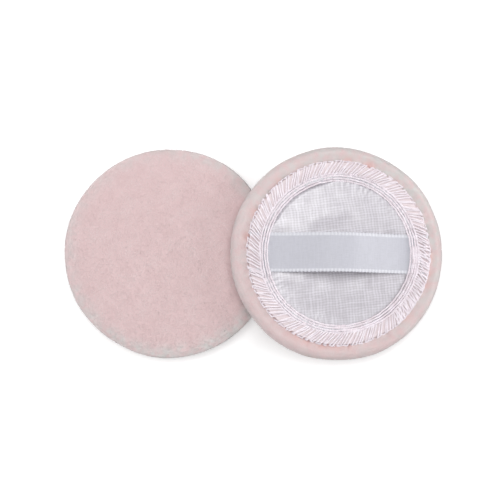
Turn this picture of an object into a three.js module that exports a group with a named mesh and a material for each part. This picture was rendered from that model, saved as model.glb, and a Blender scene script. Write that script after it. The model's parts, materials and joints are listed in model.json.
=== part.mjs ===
// A pair of round velour powder puffs, each with a satin back and a ribbon to slip the fingers under.
// Millimetres, +Z up. The left puff lies face up. The right puff lies back up, leaning on its rim.
import * as THREE from 'three';

// Velour cover: the face, the rim and the edge that turns in over the back
const PUFF_DIAMETER = 60;
const FACE_FLAT_DIAMETER = 16;
const RIM_HEIGHT = 3.4;
const SEAM_SLOPE_WIDTH = 1.4;
const CREST_HEIGHT = 7.2;
const SEAM_BED_HEIGHT = 6;
const COVER_THICKNESS = 1.2;

// Hem: the cover's edge, folded outwards again under the satin
const FOLD_DIAMETER = 40.4;
const FOLD_THICKNESS = 0.6;
const HEM_DIAMETER = 51.2;
const HEM_THICKNESS = 0.5;

// Satin back, and the ribbon that is caught in the seam at both ends
const SATIN_THICKNESS = 0.25;
const SATIN_CROWN = 1;
const CROWN_RAMP = 10;
const RIBBON_WIDTH = 11;
const RIBBON_THICKNESS = 0.25;
const RIBBON_BOW = 7;
const PRESSED_RAMP = 3;

// Overlock seam: two rows of needle thread, and looper threads above and under the hem
const THREAD_SIZE = 0.35;
const NEEDLE_INSET = 0.7;
const NEEDLE_SPACING = 1.2;
const LOOPER_REACH = 0.3;
const STITCH_COUNT = 84;
const LEG_SHARE = 0.4;
const STITCH_SLANT = THREE.MathUtils.degToRad(37);
const SEAM_START = THREE.MathUtils.degToRad(-40);

// Clearances
const LAYER_GAP = 0.1;
const FOAM_GAP = 0.15;
const PUFF_GAP = 0.3;

// The two puffs beside each other
const CENTRE_DISTANCE = 47;
const STEEPEST_LEAN = THREE.MathUtils.degToRad(40);

// Mesh fineness
const ROUND_SEGMENTS = 32;
const ARC_DIVISIONS = 3;
const CROWN_STEPS = 5;
const RIBBON_STEPS = 24;
const LEAN_SAMPLES = 240;
const LEAN_HALVINGS = 40;

// Radii
const puffRadius = PUFF_DIAMETER / 2;
const flatRadius = FACE_FLAT_DIAMETER / 2;
const insideRadius = puffRadius - COVER_THICKNESS;
const foldRadius = FOLD_DIAMETER / 2;
const hemRadius = HEM_DIAMETER / 2;
const innerNeedleRadius = foldRadius + NEEDLE_INSET;
const outerNeedleRadius = innerNeedleRadius + NEEDLE_SPACING;
const halfThread = THREAD_SIZE / 2;
const cornerReach = halfThread / Math.cos((Math.PI / 2 + STITCH_SLANT) / 2);
const looperInnerRadius = outerNeedleRadius + halfThread + LAYER_GAP + cornerReach;
const looperOuterRadius = hemRadius + LOOPER_REACH;
const bedRadius = looperOuterRadius + cornerReach + LAYER_GAP;
const crestRadius = bedRadius + SEAM_SLOPE_WIDTH;

// Heights above the face, layer by layer through the seam
const bedInsideHeight = SEAM_BED_HEIGHT - COVER_THICKNESS;
const underThreadBottom = SEAM_BED_HEIGHT + LAYER_GAP;
const underThreadTop = underThreadBottom + THREAD_SIZE;
const hemBottom = underThreadTop + LAYER_GAP;
const hemTop = hemBottom + HEM_THICKNESS;
const satinBottom = hemTop + LAYER_GAP;
const satinTop = satinBottom + SATIN_THICKNESS;
const ribbonBottom = satinTop + LAYER_GAP;
const ribbonTop = ribbonBottom + RIBBON_THICKNESS;
const topThreadBottom = ribbonTop + LAYER_GAP;
const backHeight = topThreadBottom + THREAD_SIZE;

// The ribbon is free between the inner needle rows, and its ends stop at the raw edge of the hem
const needleClearRadius = (innerNeedleRadius - halfThread) * Math.cos(Math.PI / ROUND_SEGMENTS);
const freeHalfLength = Math.sqrt(needleClearRadius ** 2 - (RIBBON_WIDTH / 2) ** 2) - LAYER_GAP;
const ribbonHalfLength = Math.sqrt(hemRadius ** 2 - (RIBBON_WIDTH / 2) ** 2);

const velour = new THREE.MeshStandardMaterial({ color: 0xe0c6c6, roughness: 0.95, metalness: 0 });
const foam = new THREE.MeshStandardMaterial({ color: 0xf2ece2, roughness: 0.9, metalness: 0 });
const satin = new THREE.MeshStandardMaterial({ color: 0xe3e2e8, roughness: 0.5, metalness: 0 });
const ribbonSatin = new THREE.MeshStandardMaterial({ color: 0xd6d6de, roughness: 0.4, metalness: 0 });
const thread = new THREE.MeshStandardMaterial({ color: 0xe8dde2, roughness: 0.6, metalness: 0 });

// Smooth rise from 0 to 1 over a ramp, level at both ends
function ease(distance, ramp) {
  const share = THREE.MathUtils.clamp(distance / ramp, 0, 1);
  return (1 - Math.cos(Math.PI * share)) / 2;
}

// Solid of revolution about Z, from a profile of radii and heights
function revolve(points) {
  const distinct = points.filter((p, i) => i === 0 || p.distanceTo(points[i - 1]) > 1e-6);
  const geometry = new THREE.LatheGeometry(distinct, ROUND_SEGMENTS);
  return geometry.rotateX(Math.PI / 2);
}

// Cushion cover: flat resting patch, crowned face, round rim, drawn-in back and folded hem
function coverGeometry() {
  const slopeMiddle = (crestRadius + bedRadius) / 2;
  const foldOuterRadius = foldRadius + FOLD_THICKNESS;
  const profile = new THREE.Path();
  profile.moveTo(0, 0);
  profile.lineTo(flatRadius, 0);
  profile.absellipse(flatRadius, RIM_HEIGHT, puffRadius - flatRadius, RIM_HEIGHT, -Math.PI / 2, 0);
  profile.absellipse(
    crestRadius, RIM_HEIGHT, puffRadius - crestRadius, CREST_HEIGHT - RIM_HEIGHT, 0, Math.PI / 2,
  );
  profile.bezierCurveTo(
    slopeMiddle, CREST_HEIGHT, slopeMiddle, SEAM_BED_HEIGHT, bedRadius, SEAM_BED_HEIGHT,
  );
  profile.lineTo(foldOuterRadius, SEAM_BED_HEIGHT);
  profile.lineTo(foldOuterRadius, hemBottom);
  profile.lineTo(hemRadius, hemBottom);
  profile.lineTo(hemRadius, hemTop);
  profile.lineTo(foldRadius, hemTop);
  profile.lineTo(foldRadius, bedInsideHeight);
  profile.lineTo(bedRadius, bedInsideHeight);
  profile.absellipse(
    bedRadius, RIM_HEIGHT, insideRadius - bedRadius, bedInsideHeight - RIM_HEIGHT, Math.PI / 2, 0, true,
  );
  profile.absellipse(
    flatRadius, RIM_HEIGHT, insideRadius - flatRadius, RIM_HEIGHT - COVER_THICKNESS, 0, -Math.PI / 2, true,
  );
  profile.lineTo(0, COVER_THICKNESS);
  return revolve(profile.getPoints(ARC_DIVISIONS));
}

// Points from the edge of the crown up to the axis, over a base height
function crownPoints(base, crown) {
  const points = [];
  for (let step = 0; step <= CROWN_STEPS; step += 1) {
    const inward = (CROWN_RAMP * step) / CROWN_STEPS;
    points.push(new THREE.Vector2(freeHalfLength - inward, base + crown * ease(inward, CROWN_RAMP)));
  }
  points.push(new THREE.Vector2(0, base + crown));
  return points;
}

// Foam disc: fills the cover and rises through its opening to the satin
function foamGeometry(crown) {
  const bottom = COVER_THICKNESS + FOAM_GAP;
  const shoulder = bedInsideHeight - FOAM_GAP;
  const top = satinBottom - FOAM_GAP;
  const outerRadius = insideRadius - FOAM_GAP;
  const neckRadius = foldRadius - FOAM_GAP;
  const profile = new THREE.Path();
  profile.moveTo(0, bottom);
  profile.lineTo(flatRadius, bottom);
  profile.absellipse(
    flatRadius, RIM_HEIGHT, outerRadius - flatRadius, RIM_HEIGHT - bottom, -Math.PI / 2, 0,
  );
  profile.absellipse(
    bedRadius, RIM_HEIGHT, outerRadius - bedRadius, shoulder - RIM_HEIGHT, 0, Math.PI / 2,
  );
  profile.lineTo(neckRadius, shoulder);
  profile.lineTo(neckRadius, top);
  return revolve([...profile.getPoints(ARC_DIVISIONS), ...crownPoints(top, crown)]);
}

// Satin disc: flat where it is sewn to the hem, crowned over the foam
function satinGeometry(crown) {
  const underside = crownPoints(satinBottom, crown).reverse();
  const topside = crownPoints(satinTop, crown);
  const edge = [
    new THREE.Vector2(hemRadius, satinBottom),
    new THREE.Vector2(hemRadius, satinTop),
  ];
  return revolve([...underside, ...edge, ...topside]);
}

// Ribbon along X: flat ends in the seam, and a free middle that rises over a ramp to its bow
function ribbonGeometry(bow, ramp) {
  const distances = [-ribbonHalfLength];
  for (let step = 0; step <= RIBBON_STEPS; step += 1) {
    distances.push(freeHalfLength * ((2 * step) / RIBBON_STEPS - 1));
  }
  distances.push(ribbonHalfLength);
  const rise = (x) => bow * ease(freeHalfLength - Math.abs(x), ramp);
  const underside = distances.map((x) => new THREE.Vector2(x, ribbonBottom + rise(x)));
  const topside = distances.map((x) => new THREE.Vector2(x, ribbonTop + rise(x)));
  const side = new THREE.Shape([...underside, ...topside.reverse()]);
  const geometry = new THREE.ExtrudeGeometry(side, { depth: RIBBON_WIDTH, bevelEnabled: false });
  return geometry.rotateX(Math.PI / 2).translate(0, RIBBON_WIDTH / 2, 0);
}

// One row of needle thread
function needleGeometry(radius) {
  return revolve([
    new THREE.Vector2(radius - halfThread, topThreadBottom),
    new THREE.Vector2(radius + halfThread, topThreadBottom),
    new THREE.Vector2(radius + halfThread, backHeight),
    new THREE.Vector2(radius - halfThread, backHeight),
    new THREE.Vector2(radius - halfThread, topThreadBottom),
  ]);
}

// Corners of the looper's route: out along one slanted leg of a stitch and back along the next
function looperRoute() {
  const pitch = (2 * Math.PI) / STITCH_COUNT;
  const middleRadius = (looperInnerRadius + looperOuterRadius) / 2;
  const legReach = looperOuterRadius - looperInnerRadius;
  const lag = (Math.tan(STITCH_SLANT) * legReach) / middleRadius;
  const at = (radius, angle) => new THREE.Vector2(radius * Math.cos(angle), radius * Math.sin(angle));
  const route = [];
  for (let stitch = 0; stitch < STITCH_COUNT; stitch += 1) {
    const start = SEAM_START + stitch * pitch;
    const back = start + LEG_SHARE * pitch;
    route.push(at(looperInnerRadius, start), at(looperOuterRadius, start - lag));
    route.push(at(looperOuterRadius, back - lag), at(looperInnerRadius, back));
  }
  return route;
}

// Looper thread of three sides along its route: two edges on top and one underneath
function looperGeometry(bottom, top) {
  const route = looperRoute();
  const last = route.length - 1;
  const positions = [];
  for (let i = 0; i <= last; i += 1) {
    const before = route[Math.max(i, 1)].clone().sub(route[Math.max(i, 1) - 1]).normalize();
    const after = route[Math.min(i, last - 1) + 1].clone().sub(route[Math.min(i, last - 1)]).normalize();
    const along = before.clone().add(after).normalize();
    const reach = halfThread / along.dot(before);
    const left = new THREE.Vector2(-along.y, along.x).multiplyScalar(reach);
    positions.push(route[i].x + left.x, route[i].y + left.y, top);
    positions.push(route[i].x - left.x, route[i].y - left.y, top);
    positions.push(route[i].x, route[i].y, bottom);
  }
  const faces = [0, 2, 1, 3 * last, 3 * last + 1, 3 * last + 2];
  for (let i = 0; i < last; i += 1) {
    for (let side = 0; side < 3; side += 1) {
      const a = 3 * i + side;
      const b = 3 * i + ((side + 1) % 3);
      faces.push(a, b, a + 3, b, b + 3, a + 3);
    }
  }
  const geometry = new THREE.BufferGeometry();
  geometry.setAttribute('position', new THREE.Float32BufferAttribute(positions, 3));
  geometry.setIndex(faces);
  return geometry;
}

// A puff with its face down on its own ground plane. Each piece is a mesh of its own.
function buildPuff(side, crown, ribbon) {
  const puff = new THREE.Group();
  const add = (name, geometry, material) => {
    const mesh = new THREE.Mesh(geometry, material);
    mesh.name = `${side}_${name}`;
    puff.add(mesh);
  };
  add('velour_cover', coverGeometry(), velour);
  add('foam_core', foamGeometry(crown), foam);
  add('satin_back', satinGeometry(crown), satin);
  add('ribbon_strap', ribbon, ribbonSatin);
  add('inner_needle_thread', needleGeometry(innerNeedleRadius), thread);
  add('outer_needle_thread', needleGeometry(outerNeedleRadius), thread);
  add('top_looper_thread', looperGeometry(topThreadBottom, backHeight), thread);
  add('under_looper_thread', looperGeometry(underThreadBottom, underThreadTop), thread);
  return puff;
}

// Height of the face above its lowest plane, at a distance from the axis
function faceHeight(radius) {
  const share = THREE.MathUtils.clamp((radius - flatRadius) / (puffRadius - flatRadius), 0, 1);
  return RIM_HEIGHT * (1 - Math.sqrt(1 - share ** 2));
}

const sampleRadii = Array.from({ length: LEAN_SAMPLES + 1 }, (_, i) => (puffRadius * i) / LEAN_SAMPLES);

// Height of the leaning puff's face centre when its lower edge touches the table
function leanHeight(tilt) {
  const drops = sampleRadii.map((r) => r * Math.sin(tilt) - faceHeight(r) * Math.cos(tilt));
  return Math.max(...drops);
}

// Least gap between the leaning puff's face and the face of the puff under it
function leanGap(tilt) {
  const height = leanHeight(tilt);
  let gap = Infinity;
  for (const radius of sampleRadii) {
    const x = radius - CENTRE_DISTANCE;
    const z = backHeight - faceHeight(radius) - height;
    const outward = Math.abs(x * Math.cos(tilt) - z * Math.sin(tilt));
    const upward = x * Math.sin(tilt) + z * Math.cos(tilt);
    if (outward < puffRadius) {
      gap = Math.min(gap, faceHeight(outward) - upward);
    }
  }
  return gap;
}

// Smallest lean that keeps the gap between the two puffs
function solveLean() {
  let low = 0;
  let high = STEEPEST_LEAN;
  for (let i = 0; i < LEAN_HALVINGS; i += 1) {
    const middle = (low + high) / 2;
    if (leanGap(middle) < PUFF_GAP) {
      low = middle;
    } else {
      high = middle;
    }
  }
  return high;
}

// Under its puff the left ribbon is pressed level with the threads, and the satin with it
const pressedBow = backHeight - ribbonTop;
const leftPuff = buildPuff('left', pressedBow, ribbonGeometry(pressedBow, PRESSED_RAMP));
leftPuff.rotation.x = Math.PI;
leftPuff.position.set(-CENTRE_DISTANCE / 2, 0, backHeight);

const lean = solveLean();
const rightPuff = buildPuff('right', SATIN_CROWN, ribbonGeometry(RIBBON_BOW, freeHalfLength));
rightPuff.rotation.y = lean;
rightPuff.position.set(CENTRE_DISTANCE / 2, 0, leanHeight(lean));

// The origin is on the table, under the middle of the pair
const pair = new THREE.Group();
pair.add(leftPuff, rightPuff);
pair.updateMatrixWorld(true);
const extent = new THREE.Box3().setFromObject(pair, true);
pair.position.x = -(extent.min.x + extent.max.x) / 2;
pair.position.y = -(extent.min.y + extent.max.y) / 2;

const powderPuffs = new THREE.Group();
powderPuffs.add(pair);

export default powderPuffs;
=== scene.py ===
import json
import math

import bpy
import numpy as np
from mathutils import Matrix, Vector


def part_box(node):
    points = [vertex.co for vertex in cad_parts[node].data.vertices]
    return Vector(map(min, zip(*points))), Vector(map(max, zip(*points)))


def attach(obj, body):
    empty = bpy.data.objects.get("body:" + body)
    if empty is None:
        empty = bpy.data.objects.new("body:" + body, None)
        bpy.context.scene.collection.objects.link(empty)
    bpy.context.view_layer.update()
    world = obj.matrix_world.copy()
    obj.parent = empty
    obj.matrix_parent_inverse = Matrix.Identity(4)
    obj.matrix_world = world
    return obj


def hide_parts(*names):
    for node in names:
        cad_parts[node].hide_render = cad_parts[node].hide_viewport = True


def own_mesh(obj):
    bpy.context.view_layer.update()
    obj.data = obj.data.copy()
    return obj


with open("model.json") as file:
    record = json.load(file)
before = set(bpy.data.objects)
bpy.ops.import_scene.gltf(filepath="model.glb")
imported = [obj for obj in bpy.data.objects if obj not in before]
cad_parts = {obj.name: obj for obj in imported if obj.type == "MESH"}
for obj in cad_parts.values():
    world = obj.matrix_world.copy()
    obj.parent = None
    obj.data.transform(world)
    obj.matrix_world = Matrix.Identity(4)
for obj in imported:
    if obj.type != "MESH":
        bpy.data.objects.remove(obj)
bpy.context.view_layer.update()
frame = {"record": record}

# Lengths are in millimetres, in a puff's own frame: its face rests on height 0 and its back looks up
MM = 0.001

# Velour: the knitted ground and the pile that stands on it
FLAT_RADIUS = 8.0
RIM_HEIGHT = 3.4
CREST_RADIUS = 27.8
CREST_HEIGHT = 7.2
BED_RADIUS = 26.4
SEAM_EDGE = 25.35
BED_HEIGHT = 6.0
COVER_THICKNESS = 1.2
PILE_HEIGHT = 0.24
PILE_WIDTH = 0.34
PILE_COUNT = 64000
PILE_LEAN = math.radians(12)
PILE_ROOT = 0.06
PILE_END = 0.2

# The velour's roll beside the seam: each point's place past the seam's edge and its drop below the crest
ROLL = ((0.9, 0.02), (0.3, 0.1), (-0.1, 0.35))
TUCK = 0.9
DRAWN_DEPTH = 0.14
DRAWN_OFFSET = 0.4
DRAWN_WIDTH = 1.4
DIMPLES = 18
DIMPLE_SPREAD = 1.5
DIMPLE_WIDTHS = (0.03, 0.08)
DIMPLE_DEPTHS = (0.1, 0.26)
# The dimples get a deeper pink: painted shade, partly the pile's deeper colour where it parts; DIMPLE_TINT
# sets how strong
DIMPLE_TINT = 4
LUMP_HEIGHT = 0.05
LUMP_SIZE = 11

# Where the rim is let out or drawn in, and where its pile turns pale: partly the pile's own paler tone,
# partly painted sheen that is painted stronger on the lit side
FULL_FROM = 18
FULL_OVER = 12
OUT_OF_ROUND = 0.004
PALE_FROM = 24.5
PALE_OVER = 5
PALE_ON_BACK = 0.85
PALE_MEAN = 0.68
PALE_SWING = 0.32
PAINTED_LIT_SIDE = math.radians(50)

# Foam
FOAM_GAP = 0.15
FOAM_STEP = 0.8

# Hem, satin and ribbon
FOLD_RADIUS = 20.2
FOLD_THICKNESS = 0.6
HEM_RADIUS = 25.6
HEM_BOTTOM = 6.55
HEM_TOP = 7.05
HEM_DIP = 0.8
SATIN_HEIGHT = 7.4
SATIN_CROWN = 1.0
SATIN_EDGE = 0.3
CROWN_RAMP = 10.0
PUCKER_HEIGHT = 0.1
PUCKER_REACH = 1.7
PULL_DEPTH = 0.2
CREASE_DEPTH = 0.28
CREASE_ANGLE = math.radians(127)
CREASE_REACH = 0.65
PRESSED_RISE = 0.45
PRESSED_RAMP = 3.0
RIBBON_BOTTOM = 7.5
RIBBON_THICKNESS = 0.25
RIBBON_WIDTH = 11.0
RIBBON_BOW = 7.0
FREE_HALF_LENGTH = 19.78
RIBBON_HALF_LENGTH = 25.3
PICOT_PITCH = 1.0
PICOT_BAND = 1.0
BEAD_HEIGHT = 0.1
SCALLOP = 0.13
RAIL_HEIGHT = 0.05
RIBBON_CUP = 0.14
RIBBON_WAVE = 0.04
NEEDLE_PRESS = 0.5

# Cloth simulation of the satin's slack, on a square grid at ten times its size
FOLD_GRID = 23.0
FOLD_STEP = 1.0
FOLD_SCALE = 0.01
FOLD_FRAMES = 30
FOLD_LIMIT = 0.35
FOLD_START = 0.12
HELD_MARGIN = 0.4
CLOTH_GAP = 0.2
FOAM_CLEARANCE = 0.45

# Overlock thread
NEEDLE_SIZE = 0.28
NEEDLE_SINK = 0.28
NEEDLE_DIP = 0.16
LEG_SIZE = 0.23
LEG_START = 0.3
LEG_OVERHANG = 0.32
LEG_CREST = 0.12
SECOND_LAYER_LIFT = 0.16
THREAD_PLIES = 3
THREAD_TWIST = 1.6
PLY_OFFSET = 0.48
PLY_SIZE = 0.56
INNER_NEEDLE_RADIUS = 20.7
OUTER_NEEDLE_RADIUS = 22.1
STITCHES = 84
OVERLAP_STITCHES = 13
LEG_SPACING = 0.47
STRAND_SPREAD = 0.32
TAILS = (-1.3, -0.65, 0.0)
TAIL_LEAD = 0.12
TAIL_DRIFT = 0.6
STITCH_SLANT = math.radians(37)
SEAM_START = math.radians(-50)

# Fineness
COVER_STEP = 0.55
COVER_SEGMENTS = 288
SATIN_STEP = 0.2
SATIN_SEGMENTS = 480
FOAM_SEGMENTS = 128
SUPPORT_SEGMENTS = 64
RIBBON_ROWS = 361
RIBBON_COLUMNS = 41
PICOT_COLUMNS = 9
THREAD_SIDES = 5

# Light and camera, in metres, watts and degrees
WORLD_LIGHT = 0.38
FLOOR_HALF_SIZE = 0.5
FLOOR_DROP = 0.0001
FLOOR_GLOW = 0.3
LOW_LAMP_REACH = 0.8
LOW_LAMP_HEIGHT = 0.25
LOW_LAMP_SIZE = 0.5
LOW_LAMPS = (("right", 4, 3.5), ("back", 90, 0.8), ("left", 165, 2.6), ("front", 270, 2.6))
CAMERA_DISTANCE = 0.8
CAMERA_VIEW_WIDTH = 0.1356
CAMERA_TARGET = (-0.0034, 0.0038, 0.006)
CAMERA_RIGHT = 2.5
CAMERA_FRONT = 3.5
CAMERA_ROLL = 0.5
SENSOR_WIDTH = 36

left_low, left_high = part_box("left_velour_cover")
PUFF_RADIUS = (left_high.y - left_low.y) / 2 / MM
BACK_HEIGHT = left_high.z / MM


def middle(node):
    low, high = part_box(node)
    return (low + high) / 2


def puff_places():
    """Matrices from each puff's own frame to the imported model's, and the right puff's normal."""
    left_needle = middle("left_inner_needle_thread")
    left = Matrix.Translation((left_needle.x, left_needle.y, BACK_HEIGHT * MM))
    left = left @ Matrix.Rotation(math.pi, 4, "X")
    needle_height = BACK_HEIGHT * MM - left_needle.z
    press = next(j for j in frame["record"]["behaviour"]["joints"] if j["name"] == "right_strap_press")
    normal = Vector(press["axis"]).normalized()
    origin = middle("right_inner_needle_thread") - needle_height * normal
    lean = math.atan2(normal.x, normal.z)
    return left, Matrix.Translation(origin) @ Matrix.Rotation(lean, 4, "Y"), normal


# Numbers


def ease(share):
    return (1 - np.cos(np.pi * np.clip(share, 0, 1))) / 2


def ripple(angle, counts, random):
    """Uneven wave round the puff, of about unit height."""
    phases = random.uniform(0, 2 * np.pi, len(counts))
    weights = random.uniform(0.6, 1.0, len(counts))
    waves = sum(w * np.sin(c * angle + p) for c, p, w in zip(counts, phases, weights))
    return waves / math.sqrt(len(counts))


def cloud(points, size, random, waves=10):
    """Smooth unevenness over points, with features of about the given size."""
    ways = random.normal(0, 1, (waves, points.shape[1])) * (2.2 / size)
    phases = random.uniform(0, 2 * np.pi, waves)
    return np.sin(points @ ways.T + phases).sum(1) / math.sqrt(waves / 2)


def unit(vectors):
    return vectors / np.maximum(np.linalg.norm(vectors, axis=-1, keepdims=True), 1e-12)


def arc(centre, radii, start, stop, steps):
    angles = np.radians(np.linspace(start, stop, steps))
    across, up = radii[0] * np.cos(angles), radii[1] * np.sin(angles)
    return np.column_stack([centre[0] + across, centre[1] + up])


def even(points, step):
    """The same line with its points about a step apart."""
    lengths = np.append(0, np.cumsum(np.linalg.norm(np.diff(points, axis=0), axis=1)))
    places = np.linspace(0, lengths[-1], max(2, round(lengths[-1] / step) + 1))
    return np.column_stack([np.interp(places, lengths, points[:, i]) for i in range(points.shape[1])])


def outward(profile):
    """Outward normals of a profile that runs from the face round the rim to the back."""
    along = unit(np.gradient(profile, axis=0))
    return np.column_stack([along[:, 1], -along[:, 0]])


# Meshes


def lattice(rows, columns, first=0):
    """Quads between rows of points that close round."""
    i, j = np.meshgrid(np.arange(rows - 1), np.arange(columns), indexing="ij")
    a = first + i * columns + j
    b = first + i * columns + (j + 1) % columns
    return np.stack([a, b, b + columns, a + columns], -1).reshape(-1, 4)


def spin(profile, segments):
    """Points of a profile turned about Z, row by row, with the angle of each column."""
    angles = np.linspace(0, 2 * np.pi, segments, endpoint=False)
    radius, height = profile[:, :1], profile[:, 1:]
    heights = np.broadcast_to(height, (len(profile), segments))
    return np.stack([radius * np.cos(angles), radius * np.sin(angles), heights], -1), angles


def cap(row, pole, segments, flip):
    """Triangles from one row of points to a point on the axis."""
    j = np.arange(segments)
    a, b = row * segments + j, row * segments + (j + 1) % segments
    return np.column_stack([b, a, np.full(segments, pole)] if flip else [a, b, np.full(segments, pole)])


def plied(path, radius):
    """Thread along a path: plies that wind round each other, closed at their ends."""
    along = unit(np.gradient(path, axis=0))
    normal = unit(np.cross(along[0], (0.3, 0.2, 1.0)))
    side = np.empty_like(path)
    for i, tangent in enumerate(along):
        normal = normal - tangent * (normal @ tangent)
        normal /= np.linalg.norm(normal)
        side[i] = normal
    other = np.cross(along, side)
    travel = np.append(0, np.cumsum(np.linalg.norm(np.diff(path, axis=0), axis=1)))
    turn = np.linspace(0, 2 * np.pi, THREAD_SIDES, endpoint=False)
    ring = np.cos(turn)[:, None] * side[:, None] + np.sin(turn)[:, None] * other[:, None]
    last = (len(path) - 1) * THREAD_SIDES
    faces = lattice(len(path), THREAD_SIDES)[:, ::-1].tolist()
    faces += [list(range(THREAD_SIDES)), list(range(last + THREAD_SIDES - 1, last - 1, -1))]
    plies = []
    for ply in range(THREAD_PLIES):
        wind = (2 * np.pi * (travel / THREAD_TWIST + ply / THREAD_PLIES))[:, None]
        middle_line = path + PLY_OFFSET * radius * (np.cos(wind) * side + np.sin(wind) * other)
        plies.append(((middle_line[:, None] + PLY_SIZE * radius * ring).reshape(-1, 3), faces))
    return joined(plies)


def joined(parts):
    """One mesh from several."""
    points, faces, count = [], [], 0
    for part_points, part_faces in parts:
        points.append(part_points)
        faces += [[count + i for i in face] for face in part_faces]
        count += len(part_points)
    return np.concatenate(points), faces


def rounded(points, steps):
    """Smooth line through points."""
    padded = np.concatenate([points[:1], points, points[-1:]])
    a, b, c, d = padded[:-3, None], padded[1:-2, None], padded[2:-1, None], padded[3:, None]
    t = np.linspace(0, 1, steps, endpoint=False)[:, None]
    bend, twist = 2 * a - 5 * b + 4 * c - d, 3 * b - a - 3 * c + d
    line = 0.5 * (2 * b + (c - a) * t + bend * t**2 + twist * t**3)
    return np.concatenate([line.reshape(-1, points.shape[1]), points[-1:]])


def polar(radius, angle, height):
    return np.stack(np.broadcast_arrays(radius * np.cos(angle), radius * np.sin(angle), height), -1)


def piece(name, points, faces, puff, material, node=None):
    """A mesh in a puff's own frame that rides on the puff and may stand for a CAD node."""
    name += "_dressed"
    points = np.array(points)
    points[:, 2] = np.minimum(points[:, 2], puff["ceiling"])
    mesh = bpy.data.meshes.new(name)
    mesh.from_pydata((points * MM).tolist(), [], faces)
    mesh.polygons.foreach_set("use_smooth", [True] * len(mesh.polygons))
    mesh.materials.append(material)
    made = bpy.data.objects.new(name, mesh)
    bpy.context.scene.collection.objects.link(made)
    made.matrix_world = puff["place"]
    bpy.context.view_layer.update()
    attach(made, puff["body"])
    if node:
        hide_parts(node)
    return made


def paint(made, label, values):
    """A value at each point of a piece, for its material to read."""
    attribute = made.data.attributes.new(label, "FLOAT", "POINT")
    attribute.data.foreach_set("value", np.asarray(values, float).ravel())


# Materials


def node(tree, kind, inputs=(), **settings):
    """A shader node, with its inputs set or linked by name or place."""
    made = tree.nodes.new(kind)
    for key, value in settings.items():
        setattr(made, key, value)
    for key, value in dict(inputs).items():
        if isinstance(value, bpy.types.NodeSocket):
            tree.links.new(value, made.inputs[key])
        else:
            made.inputs[key].default_value = value
    return made


def plain_material(name, **sockets):
    material = bpy.data.materials.new(name)
    material.use_nodes = True
    shader = material.node_tree.nodes["Principled BSDF"]
    for key, value in sockets.items():
        shader.inputs[key.replace("_", " ").title().replace("Ior", "IOR")].default_value = value
    return material, material.node_tree, shader


def rgb(red, green, blue):
    """A colour given as it looks on screen, made linear."""
    linear = [c / 12.92 if c <= 0.04045 else ((c + 0.055) / 1.055) ** 2.4 for c in (red, green, blue)]
    return (*linear, 1.0)


def spots(tree, size, detail=2.0):
    """Soft noise with spots of about the given size."""
    where = node(tree, "ShaderNodeTexCoord").outputs["Object"]
    noise = node(tree, "ShaderNodeTexNoise", {"Vector": where, "Scale": 1 / (size * MM), "Detail": detail})
    return noise.outputs["Fac"]


def mix(tree, factor, first, second):
    return node(tree, "ShaderNodeMix", {0: factor, 6: first, 7: second}, data_type="RGBA").outputs[2]


def span(tree, value, low, high, out_low=0.0, out_high=1.0):
    inputs = {0: value, 1: low, 2: high, 3: out_low, 4: out_high}
    return node(tree, "ShaderNodeMapRange", inputs).outputs[0]


def maths(tree, way, first, second=0.0):
    return node(tree, "ShaderNodeMath", {0: first, 1: second}, operation=way).outputs[0]


def bump(tree, shader, height, distance):
    made = node(tree, "ShaderNodeBump", {"Height": height, "Distance": distance * MM, "Strength": 1.0})
    tree.links.new(made.outputs[0], shader.inputs["Normal"])


def velour_material(name, root, tip):
    """Pile with painted shade at its roots and painted sheen at its tips, paler round the rim, partly its
    own tone and partly painted sheen, with a mottled nap and painted shade in the dimples.
    """
    material, tree, shader = plain_material(
        name, roughness=0.95, sheen_weight=0.3, sheen_roughness=0.4, specular_ior_level=0.15
    )
    # The pile value mixes a deeper root colour, painted shade, with a paler tip colour, painted sheen
    height = node(tree, "ShaderNodeAttribute", attribute_name="pile").outputs["Fac"]
    nap = span(tree, spots(tree, 4.5), 0.35, 0.65, -0.16, 0.16)
    fleck = span(tree, spots(tree, 0.6), 0.3, 0.7, -0.1, 0.1)
    blend = maths(tree, "ADD", height, maths(tree, "ADD", nap, fleck))
    colour = mix(tree, span(tree, blend, 0, 1), root, tip)
    # The rim's pale colour: partly the pile's own tone, partly painted sheen, painted stronger on the lit
    # side
    pale_pile_and_sheen = node(tree, "ShaderNodeAttribute", attribute_name="rim").outputs["Fac"]
    uneven = maths(tree, "MULTIPLY", pale_pile_and_sheen, span(tree, spots(tree, 2.4), 0.36, 0.64, 0.2, 1.2))
    colour = mix(tree, uneven, colour, RIM_PALE_AND_SHEEN_COLOUR)
    # Deeper pink in the dimples beside the seam: painted shade, partly the pile's deeper colour where it
    # parts
    drawn = node(tree, "ShaderNodeAttribute", attribute_name="dimple_shade").outputs["Fac"]
    colour = mix(tree, drawn, colour, DIMPLE_SHADE_COLOUR)
    tree.links.new(colour, shader.inputs["Base Color"])
    return material


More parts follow.
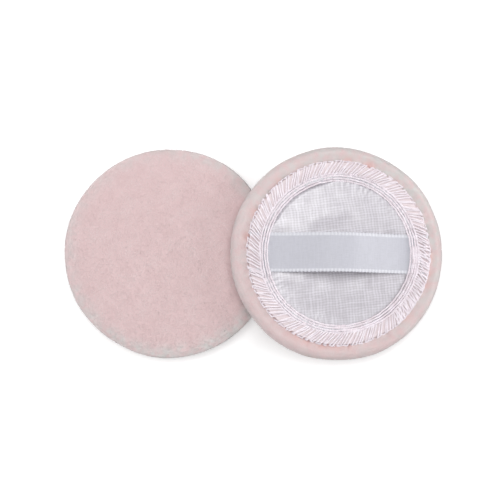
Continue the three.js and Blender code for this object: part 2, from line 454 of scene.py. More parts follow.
def weave(tree, across, along, turn):
    """Height of a plain weave whose yarns wander and swell: warp at one pitch and weft at another."""
    flat = node(tree, "ShaderNodeTexCoord").outputs["Object"]
    where = node(tree, "ShaderNodeMapping", {"Vector": flat, "Rotation": (0, 0, -turn)}).outputs[0]
    axes = node(tree, "ShaderNodeSeparateXYZ", {0: where}).outputs
    wander = span(tree, spots(tree, 4 * across), 0.3, 0.7, -0.7, 0.7)
    yarns = []
    for axis, pitch in ((0, across), (1, along)):
        phase = maths(tree, "MULTIPLY", axes[axis], math.pi / (pitch * MM))
        ridge = maths(tree, "ABSOLUTE", maths(tree, "SINE", maths(tree, "ADD", phase, wander)))
        fine = maths(tree, "MULTIPLY", axes[axis], 0.9 / (pitch * MM))
        long = maths(tree, "MULTIPLY", axes[1 - axis], 0.12 / (pitch * MM))
        strip = node(tree, "ShaderNodeCombineXYZ", {0: fine, 1: long, 2: float(axis)}).outputs[0]
        inputs = {"Vector": strip, "Scale": 1.0, "Detail": 2.0}
        swell = node(tree, "ShaderNodeTexNoise", inputs).outputs["Fac"]
        yarns.append(maths(tree, "MULTIPLY", ridge, span(tree, swell, 0.3, 0.7, 0.3, 1.25)))
    return maths(tree, "MULTIPLY", maths(tree, "ADD", yarns[0], yarns[1]), 0.5)


def cloth_material(name, deep, high, across, along, turn, relief, **sockets):
    """Woven satin: painted shade between its yarns, tinted over the velour hem and whiter on its picot
    beads, partly paler picot yarn and partly a painted highlight on each bead.
    """
    material, tree, shader = plain_material(name, **sockets)
    crossing = weave(tree, across, along, turn)
    woven = mix(tree, span(tree, crossing, 0.05, 0.85), deep, high)
    hem = node(tree, "ShaderNodeAttribute", attribute_name="hem").outputs["Fac"]
    colour = mix(tree, hem, woven, HEM_COLOUR)
    # Picot beads whiter: partly paler picot yarn, partly a painted highlight
    bead = node(tree, "ShaderNodeAttribute", attribute_name="bead").outputs["Fac"]
    colour = mix(tree, bead, colour, BEAD_COLOUR)
    tree.links.new(colour, shader.inputs["Base Color"])
    middling = sockets["roughness"]
    rough = span(tree, spots(tree, 3.0), 0.3, 0.7, middling - 0.06, middling + 0.08)
    tree.links.new(rough, shader.inputs["Roughness"])
    bump(tree, shader, crossing, relief)
    return material


def thread_material(name):
    """Silky spun thread with fine fibres and slight changes of shade."""
    material, tree, shader = plain_material(
        name, roughness=0.42, sheen_weight=0.3, sheen_roughness=0.35, specular_ior_level=0.6
    )
    shade = spots(tree, 1.4, 3.0)
    colour = mix(tree, span(tree, shade, 0.3, 0.7), THREAD_DEEP, THREAD_HIGH)
    tree.links.new(colour, shader.inputs["Base Color"])
    bump(tree, shader, spots(tree, 0.12), 0.03)
    return material


def foam_material(name):
    """Open-celled foam, darker in each cell's hollow as painted shade."""
    material, tree, shader = plain_material(name, roughness=0.95)
    where = node(tree, "ShaderNodeTexCoord").outputs["Object"]
    inputs = {"Vector": where, "Scale": 1 / (0.5 * MM)}
    cells = node(tree, "ShaderNodeTexVoronoi", inputs).outputs["Distance"]
    # Darker towards each cell's middle, where the bump is lowest: painted shade in the hollows
    colour = mix(tree, span(tree, cells, 0, 0.8), FOAM_DEEP, FOAM_HIGH)
    tree.links.new(colour, shader.inputs["Base Color"])
    bump(tree, shader, cells, 0.2)
    return material


def seen_directly(tree):
    """1 where the camera sees a thing, also in a gloss or through glass."""
    path = node(tree, "ShaderNodeLightPath").outputs
    mirrored = maths(tree, "ADD", path["Is Glossy Ray"], path["Is Transmission Ray"])
    return maths(tree, "ADD", path["Is Camera Ray"], mirrored)


def floor_material(name):
    """White paper that is plain white to the camera and keeps the soft shadows."""
    material, tree, shader = plain_material(name, roughness=0.9, base_color=(0.82, 0.82, 0.82, 1))
    grain = span(tree, spots(tree, 30.0), 0.3, 0.7, 0.86, 0.92)
    tree.links.new(grain, shader.inputs["Roughness"])
    glow = maths(tree, "MULTIPLY", seen_directly(tree), FLOOR_GLOW)
    tree.links.new(glow, shader.inputs["Emission Strength"])
    shader.inputs["Emission Color"].default_value = (1, 1, 1, 1)
    return material


HEM_COLOUR = rgb(0.81, 0.75, 0.765)
# Picot white: partly the picot yarn's own tone, partly a painted highlight on the beads
BEAD_COLOUR = rgb(0.815, 0.815, 0.84)
# Pale grey of the rim: partly the pile's own tone, partly painted sheen
RIM_PALE_AND_SHEEN_COLOUR = rgb(0.815, 0.797, 0.792)
# Deeper pink painted as shade in the dimples
DIMPLE_SHADE_COLOUR = rgb(0.87, 0.73, 0.715)
THREAD_DEEP = rgb(0.88, 0.835, 0.86)
THREAD_HIGH = rgb(0.945, 0.918, 0.943)
# The foam's deep colour is painted shade in the cell hollows
FOAM_DEEP = rgb(0.80, 0.76, 0.69)
FOAM_HIGH = rgb(0.95, 0.92, 0.86)
# Root colours carry painted shade and tip colours painted sheen
VELOUR_GROUND = velour_material("velour_ground", rgb(0.845, 0.747, 0.75), rgb(0.86, 0.785, 0.785))
VELOUR_PILE = velour_material("velour_pile", rgb(0.845, 0.747, 0.75), rgb(0.868, 0.815, 0.815))
FOAM = foam_material("foam")
SATIN = cloth_material(
    "satin", rgb(0.615, 0.595, 0.62), rgb(0.75, 0.735, 0.765), across=0.9, along=0.7, turn=math.radians(7),
    relief=0.035, roughness=0.38, specular_ior_level=1.0, ior=1.65,
)
RIBBON = cloth_material(
    "ribbon", rgb(0.68, 0.68, 0.71), rgb(0.735, 0.735, 0.77), across=0.34, along=0.22, turn=0.0,
    relief=0.02, roughness=0.5, specular_ior_level=0.4,
)
THREAD = thread_material("thread")


# Velour


def cover_outline():
    """The cover's outer line with its pile, from the face's middle round the rim and in under the seam."""
    face = np.array([(0, 0), (FLAT_RADIUS, 0)], float)
    crown = arc((FLAT_RADIUS, RIM_HEIGHT), (PUFF_RADIUS - FLAT_RADIUS, RIM_HEIGHT), -90, 0, 60)
    shoulder = (PUFF_RADIUS - CREST_RADIUS, CREST_HEIGHT - RIM_HEIGHT)
    back = arc((CREST_RADIUS, RIM_HEIGHT), shoulder, 0, 90, 20)
    roll = np.array([(SEAM_EDGE + past, CREST_HEIGHT - drop) for past, drop in ROLL])
    bed = np.array([(SEAM_EDGE - TUCK, BED_HEIGHT), (FOLD_RADIUS + FOLD_THICKNESS, BED_HEIGHT)])
    return even(np.concatenate([face, crown[1:], back[1:], roll, bed]), COVER_STEP)


def cover_inside():
    """From the fold out along the hem, back, and round the inside of the cover to the axis."""
    inside = PUFF_RADIUS - COVER_THICKNESS
    shoulder = BED_HEIGHT - COVER_THICKNESS
    hem = [
        (FOLD_RADIUS + FOLD_THICKNESS, HEM_BOTTOM),
        (HEM_RADIUS, HEM_BOTTOM),
        (HEM_RADIUS, HEM_TOP),
        (OUTER_NEEDLE_RADIUS + HEM_DIP, HEM_TOP),
        (FOLD_RADIUS, HEM_TOP - NEEDLE_PRESS),
        (FOLD_RADIUS, shoulder),
    ]
    bend = arc((BED_RADIUS, RIM_HEIGHT), (inside - BED_RADIUS, shoulder - RIM_HEIGHT), 90, 0, 8)
    bowl = arc((FLAT_RADIUS, RIM_HEIGHT), (inside - FLAT_RADIUS, RIM_HEIGHT - COVER_THICKNESS), 0, -90, 16)
    return np.concatenate([hem, bend, bowl[1:], [(0, COVER_THICKNESS)]])


def velour(puff, random):
    """The cover's ground, drawn in unevenly by the seam, and the pile on it."""
    line = cover_outline()
    normals = outward(line)
    on_back = (line[:, 1] > RIM_HEIGHT) & (np.arange(len(line)) > len(line) // 2)
    furry = ~on_back | (line[:, 0] > SEAM_EDGE - PILE_END)
    sunk = np.where(on_back, ease((line[:, 0] - SEAM_EDGE + 1.5) / 2), 1)
    ground = line - PILE_HEIGHT * sunk[:, None] * normals
    ground[0, 0] = 0
    profile = np.concatenate([ground, cover_inside()])
    points, angles = spin(profile[1:-1], COVER_SEGMENTS)
    rows = len(ground) - 1

    outer = points[:rows]
    radius = np.hypot(outer[..., 0], outer[..., 1])
    out, up = normals[1:, :1], normals[1:, 1:]
    way = np.stack([out * np.cos(angles), out * np.sin(angles), up + 0 * angles], -1)
    from_seam = (radius - SEAM_EDGE - DRAWN_OFFSET) / DRAWN_WIDTH
    near_seam = np.where(on_back[1:, None], np.exp(-(from_seam**2)), 0)
    dimpled = np.zeros(COVER_SEGMENTS)
    for _ in range(DIMPLES):
        spot = random.normal(-np.pi / 2, DIMPLE_SPREAD)
        width = random.uniform(*DIMPLE_WIDTHS)
        depth = random.uniform(*DIMPLE_DEPTHS)
        gap = np.angle(np.exp(1j * (angles - spot)))
        dimpled = np.maximum(dimpled, depth * np.exp(-((gap / width) ** 2)))
    drawn = DRAWN_DEPTH * ripple(angles, [29, 41, 58, 72], random) - dimpled
    uneven = LUMP_HEIGHT * cloud(outer.reshape(-1, 3), LUMP_SIZE, random).reshape(rows, -1)
    calm = np.where(on_back[1:, None], ease((radius - HEM_RADIUS) / 1.5), 1)
    outer += way * (near_seam * drawn + calm * uneven)[..., None]
    full = puff["fuller"] + puff["aside"] * np.cos(angles)
    full = full + OUT_OF_ROUND * ripple(angles, [2, 3, 5, 7], random)
    outer[..., :2] *= (1 + full * ease((radius - FULL_FROM) / FULL_OVER) * calm)[..., None]

    count = len(profile) - 2
    poles = [(0, 0, ground[0, 1]), (0, 0, profile[-1, 1])]
    flat_points = np.concatenate([points.reshape(-1, 3), poles])
    pole = count * COVER_SEGMENTS
    faces = lattice(count, COVER_SEGMENTS).tolist()
    faces += cap(0, pole, COVER_SEGMENTS, True).tolist()
    faces += cap(count - 1, pole + 1, COVER_SEGMENTS, False).tolist()
    name = puff["side"] + "_velour_cover"
    cover = piece(name, flat_points, faces, puff, VELOUR_GROUND, name)

    last_furry = int(np.flatnonzero(furry)[-1])
    # Painted sheen round the rim and beside the seam, partly the pile's own paler tone there; it swings
    # round the puff as painted light, strongest on the lit side
    pale_back = PALE_ON_BACK * ease((line[:, 0] - SEAM_EDGE + 0.3) / 0.9)
    rim = np.where(on_back, pale_back, ease((line[:, 0] - PALE_FROM) / PALE_OVER))
    rim = rim[1:, None] * (PALE_MEAN + PALE_SWING * np.cos(angles - PAINTED_LIT_SIDE))
    # Painted shade in the dimples, as strong as they are deep
    dimple_shade = np.clip(near_seam * dimpled * DIMPLE_TINT, 0, 1)
    for label, values in (("rim", rim), ("dimple_shade", dimple_shade)):
        paint(cover, label, np.concatenate([values.ravel(), np.zeros(len(flat_points) - values.size)]))
    painted = np.concatenate([outer, rim[..., None], dimple_shade[..., None]], -1)
    pile(puff, painted[:last_furry], ground[0, 1], random)


def pile(puff, rows, pole_height, random):
    """Short tufts that lean with the nap, over rows of ground points with the values painted there."""
    pole = np.broadcast_to((0, 0, pole_height, 0, 0), rows[:1].shape)
    grid = np.concatenate([pole, rows])
    grid = np.concatenate([grid, grid[:, :1]], 1)
    a, b, c, d = grid[:-1, :-1], grid[:-1, 1:], grid[1:, 1:], grid[1:, :-1]
    facing = np.cross((c - a)[..., :3], (b - d)[..., :3]).reshape(-1, 3)
    areas = np.linalg.norm(facing, axis=1)
    chosen = random.choice(len(areas), PILE_COUNT, p=areas / areas.sum())
    u, v = random.uniform(0, 1, (2, PILE_COUNT, 1))
    corners = [corner.reshape(-1, 5)[chosen] for corner in (a, b, c, d)]
    near, far = (1 - v) * corners[0] + v * corners[1], (1 - v) * corners[3] + v * corners[2]
    found = (1 - u) * near + u * far
    roots, rim, dimple_shade = found[:, :3], found[:, 3], found[:, 4]
    normal = unit(-facing[chosen])

    nap = 0.4 * cloud(roots, 14, random) + random.uniform(-np.pi, np.pi, PILE_COUNT)
    first = unit(np.cross(normal, np.array((0.31, 0.9, 0.28))))
    second = np.cross(normal, first)
    heading = np.cos(nap)[:, None] * first + np.sin(nap)[:, None] * second
    lean = PILE_LEAN * (1 + 0.12 * cloud(roots, 5, random) + random.normal(0, 0.2, PILE_COUNT))
    height = PILE_HEIGHT * (1.05 + random.normal(0, 0.1, PILE_COUNT) + 0.05 * cloud(roots, 3, random))
    tips = roots + height[:, None] * (normal + np.tan(np.clip(lean, 0, 1.0))[:, None] * heading)
    turn = random.uniform(0, 2 * np.pi, PILE_COUNT)
    feet = []
    for third in range(3):
        around = (turn + third * 2 * np.pi / 3)[:, None]
        aside = np.cos(around) * first + np.sin(around) * second
        feet.append(roots - PILE_ROOT * normal + aside * PILE_WIDTH / 2)
    points = np.stack([*feet, tips], 1).reshape(-1, 3)
    sides = np.array([(0, 1, 3), (1, 2, 3), (2, 0, 3)])
    faces = (4 * np.arange(PILE_COUNT)[:, None, None] + sides).reshape(-1, 3).tolist()
    made = piece(puff["side"] + "_velour_pile", points, faces, puff, VELOUR_PILE)
    # Painted shade at the roots, 0, and painted sheen at the tips, 1
    paint(made, "pile", np.tile([0.0, 0.0, 0.0, 1.0], PILE_COUNT))
    paint(made, "rim", np.repeat(rim, 4))
    paint(made, "dimple_shade", np.repeat(dimple_shade, 4))
    shading = unit(normal + 0.08 * heading + random.normal(0, 0.1, normal.shape))
    made.data.normals_split_custom_set_from_vertices(np.repeat(shading, 4, 0).tolist())


# Foam


def foam_core(puff):
    """Disc of foam that fills the cover and swells up under the satin."""
    bottom, shoulder = COVER_THICKNESS + FOAM_GAP, BED_HEIGHT - COVER_THICKNESS - FOAM_GAP
    outer, top = PUFF_RADIUS - COVER_THICKNESS - FOAM_GAP, HEM_TOP - 0.05
    bowl = arc((FLAT_RADIUS, RIM_HEIGHT), (outer - FLAT_RADIUS, RIM_HEIGHT - bottom), -90, 0, 24)
    bend = arc((BED_RADIUS, RIM_HEIGHT), (outer - BED_RADIUS, shoulder - RIM_HEIGHT), 0, 90, 8)
    neck = FOLD_RADIUS - FOAM_GAP
    radii = np.linspace(neck, 0, 20)
    pressed = NEEDLE_PRESS * ease((radii - neck + 3) / 3)
    dome = np.column_stack([radii, crowned(radii, puff) - SATIN_HEIGHT + top - pressed])
    profile = even(np.concatenate([[(0, bottom)], bowl, bend[1:], [(neck, shoulder)], dome]), FOAM_STEP)
    points, _ = spin(profile[1:-1], FOAM_SEGMENTS)
    count = len(profile) - 2
    poles = [(0, 0, profile[0, 1]), (0, 0, profile[-1, 1])]
    flat_points = np.concatenate([points.reshape(-1, 3), poles])
    pole = count * FOAM_SEGMENTS
    faces = lattice(count, FOAM_SEGMENTS).tolist() + cap(0, pole, FOAM_SEGMENTS, True).tolist()
    faces += cap(count - 1, pole + 1, FOAM_SEGMENTS, False).tolist()
    name = puff["side"] + "_foam_core"
    core = piece(name, flat_points, faces, puff, FOAM, name)
    return core


# Satin and ribbon


def slack_folds(puff, random):
    """How spare satin settles on the foam when held round the seam: a cloth simulation on a square grid."""
    count = round(2 * FOLD_GRID / FOLD_STEP) + 1
    line = np.linspace(-FOLD_GRID, FOLD_GRID, count)
    flat = np.stack(np.meshgrid(line, line, indexing="ij"), -1).reshape(-1, 2)
    radius = np.hypot(*flat.T)
    held_from = INNER_NEEDLE_RADIUS - HELD_MARGIN
    held = radius > held_from
    dome = crowned(radius, puff)
    start = dome + FOLD_START * cloud(flat, 5, random) * ease((held_from - radius) / 3)
    i, j = np.meshgrid(np.arange(count - 1), np.arange(count - 1), indexing="ij")
    a = (i * count + j).ravel()
    faces = np.column_stack([a, a + count, a + count + 1, a + 1])
    rings = line[line > 0]
    foam, _ = spin(np.column_stack([rings, crowned(rings, puff) - FOAM_CLEARANCE]), SUPPORT_SEGMENTS)
    foam_faces = lattice(len(foam), SUPPORT_SEGMENTS)[:, ::-1].tolist() + [list(range(SUPPORT_SEGMENTS))]

    scene = bpy.context.scene
    bench = []
    for label, points, corners in (
        ("slack_satin", np.column_stack([flat, start]), faces.tolist()),
        ("slack_foam", foam.reshape(-1, 3), foam_faces),
    ):
        mesh = bpy.data.meshes.new(label)
        mesh.from_pydata((points * FOLD_SCALE).tolist(), [], corners)
        bench.append(bpy.data.objects.new(label, mesh))
        scene.collection.objects.link(bench[-1])
    sheet, support = bench
    support.modifiers.new("support", "COLLISION")
    support.collision.thickness_outer = CLOTH_GAP * FOLD_SCALE
    support.collision.cloth_friction = 5
    sheet.vertex_groups.new(name="held").add([int(k) for k in np.flatnonzero(held)], 1.0, "REPLACE")
    cloth = sheet.modifiers.new("cloth", "CLOTH")
    cloth.settings.vertex_group_mass = "held"
    cloth.settings.quality = 6
    cloth.settings.mass = 0.05
    cloth.settings.bending_stiffness = 3
    cloth.settings.shrink_min = -puff["slack"]
    cloth.settings.shrink_max = -puff["slack"]
    cloth.settings.effector_weights.gravity = 0.5
    cloth.collision_settings.distance_min = CLOTH_GAP * FOLD_SCALE
    cloth.point_cache.frame_start = 1
    cloth.point_cache.frame_end = FOLD_FRAMES
    for step in range(1, FOLD_FRAMES + 1):
        scene.frame_set(step)
    settled = sheet.evaluated_get(bpy.context.evaluated_depsgraph_get()).data
    places = np.empty(3 * len(settled.vertices))
    settled.vertices.foreach_get("co", places)
    rise = (places.reshape(-1, 3)[:, 2] / FOLD_SCALE - dome).reshape(count, count)
    scene.frame_set(1)
    for made in bench:
        mesh = made.data
        bpy.data.objects.remove(made)
        bpy.data.meshes.remove(mesh)
    for _ in range(2):
        for axis in (0, 1):
            rise = (np.roll(rise, 1, axis) + 2 * rise + np.roll(rise, -1, axis)) / 4
    return np.clip(rise, -FOLD_LIMIT, FOLD_LIMIT)


def sampled(grid, points):
    """Values of the fold grid at points, blended smoothly between its corners."""
    place = np.clip((points + FOLD_GRID) / FOLD_STEP, 1, len(grid) - 2.001)
    corner = place.astype(int)
    t = place - corner
    first, last = (1 - t) ** 3, t**3
    second, third = 3 * t**3 - 6 * t**2 + 4, -3 * t**3 + 3 * t**2 + 3 * t + 1
    weights = np.stack([first, second, third, last]) / 6
    values = np.zeros(len(points))
    for a in range(4):
        for b in range(4):
            found = grid[corner[:, 0] + a - 1, corner[:, 1] + b - 1]
            values += weights[a, :, 0] * weights[b, :, 1] * found
    return values


def crowned(radius, puff):
    """Height of the satin's dome."""
    return SATIN_HEIGHT + puff["crown"] * ease((FREE_HALF_LENGTH - radius) / CROWN_RAMP)


def satin_back(puff, random):
    """Round of satin, crowned over the foam, puckered where the needles draw it down."""
    radii = np.append(np.arange(SATIN_STEP, HEM_RADIUS, SATIN_STEP), HEM_RADIUS)
    points, angles = spin(np.column_stack([radii, crowned(radii, puff)]), SATIN_SEGMENTS)
    radius = radii[:, None]
    within = np.exp(-np.clip(INNER_NEEDLE_RADIUS - radius, 0, None) / PUCKER_REACH)
    within = within * (radius < INNER_NEEDLE_RADIUS + 1.5)
    pucker = PUCKER_HEIGHT * ripple(angles, [36, 51, 66, 72, 87], random)
    crease = ease((CREASE_REACH - np.abs(np.angle(np.exp(1j * (angles - CREASE_ANGLE))))) / 0.3)
    depth = PULL_DEPTH + 0.05 * ripple(angles, [3, 5, 8], random) + CREASE_DEPTH * crease
    pull = -depth * np.exp(-(((radius - INNER_NEEDLE_RADIUS + 0.5 * crease) / 0.55) ** 2))
    pull = pull - 0.15 * np.exp(-(((radius - OUTER_NEEDLE_RADIUS) / 0.6) ** 2))
    flat = points[..., :2].reshape(-1, 2)
    under_ends = (1 - ease((np.abs(flat[:, 1]) - 4.5) / 3)) * ease((np.abs(flat[:, 0]) - 8) / 8)
    folds = np.zeros(len(flat))
    if puff["slack"]:
        folds = sampled(slack_folds(puff, random), flat) * (1 - 0.9 * under_ends)
    points[..., 2] += within * pucker + pull + folds.reshape(len(radii), -1)
    edge = points[-1:].copy()
    edge[..., 2] -= SATIN_EDGE
    points = np.concatenate([points, edge])
    rows = len(points)
    pole = rows * SATIN_SEGMENTS
    flat_points = np.concatenate([points.reshape(-1, 3), [(0, 0, points[0, :, 2].mean())]])
    faces = lattice(rows, SATIN_SEGMENTS)[:, ::-1].tolist()
    faces += cap(0, pole, SATIN_SEGMENTS, False).tolist()
    name = puff["side"] + "_satin_back"
    cloth = piece(name, flat_points, faces, puff, SATIN, name)
    reach = np.hypot(flat_points[:, 0], flat_points[:, 1])
    paint(cloth, "hem", ease((reach - OUTER_NEEDLE_RADIUS) / 0.8))
    return cloth


def ribbon_strap(puff, random):
    """Ribbon along X with beaded picot edges, sewn in at both ends."""
    along = np.linspace(-RIBBON_HALF_LENGTH, RIBBON_HALF_LENGTH, RIBBON_ROWS)
    half = RIBBON_WIDTH / 2
    inner = half - PICOT_BAND
    band = np.linspace(0, PICOT_BAND, PICOT_COLUMNS)
    body = np.linspace(-inner, inner, RIBBON_COLUMNS)[1:-1]
    across = np.concatenate([-half + band, body, inner + band])
    x, y = np.meshgrid(along, across, indexing="ij")
    rise = puff["bow"] * ease((FREE_HALF_LENGTH - np.abs(x)) / puff["ramp"])
    free = ease((FREE_HALF_LENGTH - np.abs(x)) / 6) * puff["bow"] / RIBBON_BOW
    beat = np.cos(2 * np.pi * x / PICOT_PITCH)
    in_band = np.clip((np.abs(y) - inner) / PICOT_BAND, 0, 1)
    bead = BEAD_HEIGHT * (0.5 + 0.5 * beat) * np.sin(np.pi * np.clip(in_band * 1.05, 0, 1)) ** 0.8
    scallop = SCALLOP * beat * np.clip((in_band - 0.6) / 0.4, 0, 1) * np.sign(y)
    rails = RAIL_HEIGHT * np.exp(-(((np.abs(y) - inner + 0.15) / 0.18) ** 2))
    flat = np.column_stack([x.ravel(), y.ravel()])
    wave = RIBBON_WAVE * cloud(flat, 8, random).reshape(x.shape) * free
    cup = RIBBON_CUP * (1 - (y / half) ** 2) * free
    spread = y + scallop
    top = RIBBON_BOTTOM + RIBBON_THICKNESS + rise + wave + cup
    top_points = np.stack([x, spread, top + bead + rails], -1)
    low_points = np.stack([x, spread, top - RIBBON_THICKNESS - 0.5 * bead], -1)
    n, m = x.shape
    i, j = np.meshgrid(np.arange(n - 1), np.arange(m - 1), indexing="ij")
    a = (i * m + j).ravel()
    upper = np.column_stack([a, a + m, a + m + 1, a + 1])
    size = n * m
    border = np.concatenate([
        np.arange(m),
        np.arange(1, n) * m + m - 1,
        (n - 1) * m + np.arange(m - 2, -1, -1),
        np.arange(n - 2, 0, -1) * m,
    ])
    after = np.roll(border, -1)
    wall = np.column_stack([border, after, after + size, border + size])
    faces = upper.tolist() + (upper[:, ::-1] + size).tolist() + wall.tolist()
    points = np.concatenate([top_points.reshape(-1, 3), low_points.reshape(-1, 3)])
    name = puff["side"] + "_ribbon_strap"
    strap = piece(name, points, faces, puff, RIBBON, name)
    paint(strap, "hem", np.tile(ease((np.abs(x) - FREE_HALF_LENGTH - 1.5) / 1).ravel(), 2))
    # Picot band paler, and each bead whiter towards its top as a painted highlight
    picot_pale_and_highlight = 0.45 * ease(in_band * 4) + 0.55 * np.clip(bead / BEAD_HEIGHT, 0, 1)
    paint(strap, "bead", np.tile(picot_pale_and_highlight.ravel(), 2))
    return strap


# Overlock seam


def over_ribbon(angle):
    """1 where the seam crosses the ribbon's ends, 0 elsewhere."""
    off = np.abs(np.sin(angle)) * INNER_NEEDLE_RADIUS
    return ease((RIBBON_WIDTH / 2 + 1.2 - off) / 1.2)


def seam_top(angle):
    """Height of the cloth under the seam."""
    return SATIN_HEIGHT + (RIBBON_BOTTOM + RIBBON_THICKNESS - SATIN_HEIGHT) * over_ribbon(angle)


def in_overlap(angle):
    """1 where the seam runs over its own start, 0 elsewhere."""
    past = np.mod(angle - SEAM_START + 0.3, 2 * np.pi) - 0.3
    length = 2 * np.pi * OVERLAP_STITCHES / STITCHES
    return ease((past + 0.3) / 0.3) * ease((length + 0.3 - past) / 0.3)


def needle_line(radius, turns, random, drift=0.0):
    """One strand of needle thread, sunk in the satin except over the ribbon and the seam's overlap."""
    steps = round(abs(turns[1] - turns[0]) * STITCHES * 12)
    angle = SEAM_START + 2 * np.pi * np.linspace(*turns, steps)
    phase = STITCHES * (angle - SEAM_START)
    share = np.linspace(0, 1, len(angle))
    sway = 0.05 * ripple(angle, [9, 17, 31], random) + 0.03 * np.sin(phase / 2)
    raised = np.maximum(over_ribbon(angle), in_overlap(angle))
    sunk = NEEDLE_SINK * (1 - raised) * (1 + 0.6 * ripple(angle, [2, 3, 5, 8], random))
    dip = NEEDLE_DIP * (0.5 + 0.5 * np.cos(phase)) ** 6
    height = seam_top(angle) + 0.85 * NEEDLE_SIZE - sunk - dip
    return polar(radius + sway + drift * share, angle, height)


def needle_thread(puff, label, radius, random):
    """A row of needle stitches in two strands. The outer row has tails that run over the seam's start."""
    strands = (-STRAND_SPREAD, STRAND_SPREAD)
    lines = [needle_line(radius + aside, (0, 1), random) for aside in strands]
    if label == "outer":
        tail_turns = (-TAIL_LEAD, OVERLAP_STITCHES / STITCHES)
        for aside in TAILS:
            tail = needle_line(radius + aside, tail_turns, random, drift=TAIL_DRIFT)
            ends = np.minimum(np.arange(len(tail)), np.arange(len(tail))[::-1])
            tail[:, 2] += 0.5 * ease(ends / 40) - 0.25
            lines.append(tail)
    name = f"{puff['side']}_{label}_needle_thread"
    points, faces = joined([plied(line, NEEDLE_SIZE) for line in lines])
    piece(name, points, faces, puff, THREAD, name)


def looper_thread(puff, label, surface, over, random):
    """Pairs of slanted legs over the seam's edge. Over is 1 on top of the cloth and -1 under it."""
    inner, outer = OUTER_NEEDLE_RADIUS + LEG_START, HEM_RADIUS + LEG_OVERHANG
    lag = math.tan(STITCH_SLANT) * (outer - inner) / ((outer + inner) / 2)
    pitch = 2 * np.pi / STITCHES
    route = []
    for stitch in range(STITCHES + OVERLAP_STITCHES):
        second_layer = stitch >= STITCHES
        shift = random.normal(0, 0.006) + (0.6 * pitch if second_layer else 0)
        lift = SECOND_LAYER_LIFT if second_layer else 0.0
        for leg in (0, 1):
            start = SEAM_START + (stitch + leg * LEG_SPACING) * pitch + shift + random.normal(0, 0.004)
            slant = lag * ((0.35 if second_layer else 1) + random.normal(0, 0.09))
            crest = random.normal(0, 0.04) + LEG_CREST + lift
            reach = inner + random.normal(0, 0.12)
            rim = outer + random.normal(0, 0.12)
            end = start - slant
            stops = [
                (reach, start, -0.2 + lift),
                (reach + 0.35, start - 0.1 * slant, 0.04 + lift),
                (reach + 1.3, start - 0.4 * slant, crest),
                (rim - 1.0, start - 0.76 * slant, crest * 0.8),
                (rim - 0.2, end + 0.04 * slant, -0.12 + lift),
                (rim, end, -0.55),
            ]
            for r, a, h in stops if leg == 0 else reversed(stops):
                base = surface
                if over > 0:
                    base += (seam_top(a) - surface) * (1 - ease((r - HEM_RADIUS + 0.9) / 1.1))
                route.append((r, a, base + over * (0.6 * LEG_SIZE + h)))
    route = np.array(route)
    line = rounded(polar(route[:, 0], route[:, 1], route[:, 2]), 4)
    name = f"{puff['side']}_{label}_looper_thread"
    points, faces = plied(line, LEG_SIZE)
    piece(name, points, faces, puff, THREAD, name)


def dress(puff, seed):
    """All the pieces of one puff."""
    random = np.random.default_rng(seed)
    velour(puff, random)
    foam = foam_core(puff)
    satin = satin_back(puff, random)
    ribbon = ribbon_strap(puff, random)
    needle_thread(puff, "inner", INNER_NEEDLE_RADIUS, random)
    needle_thread(puff, "outer", OUTER_NEEDLE_RADIUS, random)
    looper_thread(puff, "top", SATIN_HEIGHT, 1, random)
    looper_thread(puff, "under", HEM_BOTTOM, -1, random)
    return foam, satin, ribbon


left_place, right_place, right_normal = puff_places()
left_puff = {
    "side": "left", "body": "left_puff", "place": left_place, "fuller": -0.012, "aside": 0.0,
    "crown": PRESSED_RISE, "slack": 0.0, "bow": PRESSED_RISE, "ramp": PRESSED_RAMP, "ceiling": BACK_HEIGHT,
}
right_puff = {
    "side": "right", "body": "right_puff", "place": right_place, "fuller": 0.007, "aside": -0.002,
    "crown": SATIN_CROWN, "slack": 0.005, "bow": RIBBON_BOW, "ramp": FREE_HALF_LENGTH, "ceiling": math.inf,
}
dress(left_puff, 11)
right_foam, right_satin, right_ribbon = dress(right_puff, 23)

# Pressed by a finger, the ribbon flattens on the satin and the satin on the foam, which gives a little;
# here each of these soft pieces only gets a mesh of its own
for soft, base, keep in (
    (right_ribbon, RIBBON_BOTTOM, 0.15),
    (right_satin, SATIN_HEIGHT, 0.35),
    (right_foam, COVER_THICKNESS, 0.88),
):
    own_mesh(soft)


# Stage, light and camera


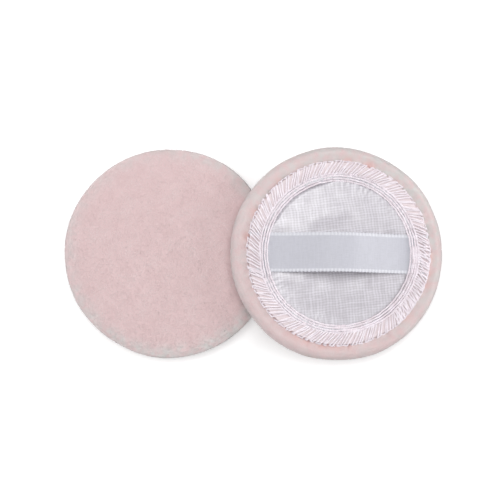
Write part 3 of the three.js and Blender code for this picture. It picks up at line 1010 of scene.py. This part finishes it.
def stage():
    mesh = bpy.data.meshes.new("floor")
    signs = ((-1, -1), (1, -1), (1, 1), (-1, 1))
    corners = [(x * FLOOR_HALF_SIZE, y * FLOOR_HALF_SIZE, 0) for x, y in signs]
    mesh.from_pydata(corners, [], [(0, 1, 2, 3)])
    mesh.materials.append(floor_material("floor"))
    floor = bpy.data.objects.new("floor", mesh)
    floor.location.z = -FLOOR_DROP
    bpy.context.scene.collection.objects.link(floor)
    world = bpy.data.worlds.new("studio")
    bpy.context.scene.world = world
    world.use_nodes = True
    backdrop = world.node_tree.nodes["Background"]
    backdrop.inputs["Color"].default_value = (1, 1, 1, 1)
    strength = span(world.node_tree, seen_directly(world.node_tree), 0.0, 1.0, WORLD_LIGHT, 1.0)
    world.node_tree.links.new(strength, backdrop.inputs["Strength"])


def lamp(name, place, size, power):
    """A round area lamp that looks at the origin."""
    data = bpy.data.lights.new(name, "AREA")
    data.shape = "DISK"
    data.size = size
    data.energy = power
    made = bpy.data.objects.new(name, data)
    made.location = place
    made.rotation_euler = (-Vector(place)).to_track_quat("-Z", "Y").to_euler()
    bpy.context.scene.collection.objects.link(made)


def camera():
    data = bpy.data.cameras.new("camera")
    data.sensor_width = SENSOR_WIDTH
    data.lens = SENSOR_WIDTH * CAMERA_DISTANCE / CAMERA_VIEW_WIDTH
    aside, down = math.tan(math.radians(CAMERA_RIGHT)), -math.tan(math.radians(CAMERA_FRONT))
    back = Vector((aside, down, 1)).normalized()
    right = Vector((0, 1, 0)).cross(back).normalized()
    made = bpy.data.objects.new("camera", data)
    place = Matrix.Translation(Vector(CAMERA_TARGET) + CAMERA_DISTANCE * back)
    aim = Matrix((right, back.cross(right), back)).transposed().to_4x4()
    made.matrix_world = place @ aim @ Matrix.Rotation(math.radians(CAMERA_ROLL), 4, "Z")
    data.clip_start, data.clip_end = 0.01, 10
    bpy.context.scene.collection.objects.link(made)
    bpy.context.scene.camera = made


stage()
lamp("key", (-0.18, 0.06, 0.88), size=0.4, power=1.6)
lamp("kicker", (0.1, 0.3, 0.78), size=0.6, power=2.5)
for name, turn, power in LOW_LAMPS:
    east, north = math.cos(math.radians(turn)), math.sin(math.radians(turn))
    lamp(name, (LOW_LAMP_REACH * east, LOW_LAMP_REACH * north, LOW_LAMP_HEIGHT), LOW_LAMP_SIZE, power)
camera()
bpy.context.scene.view_settings.view_transform = "Standard"
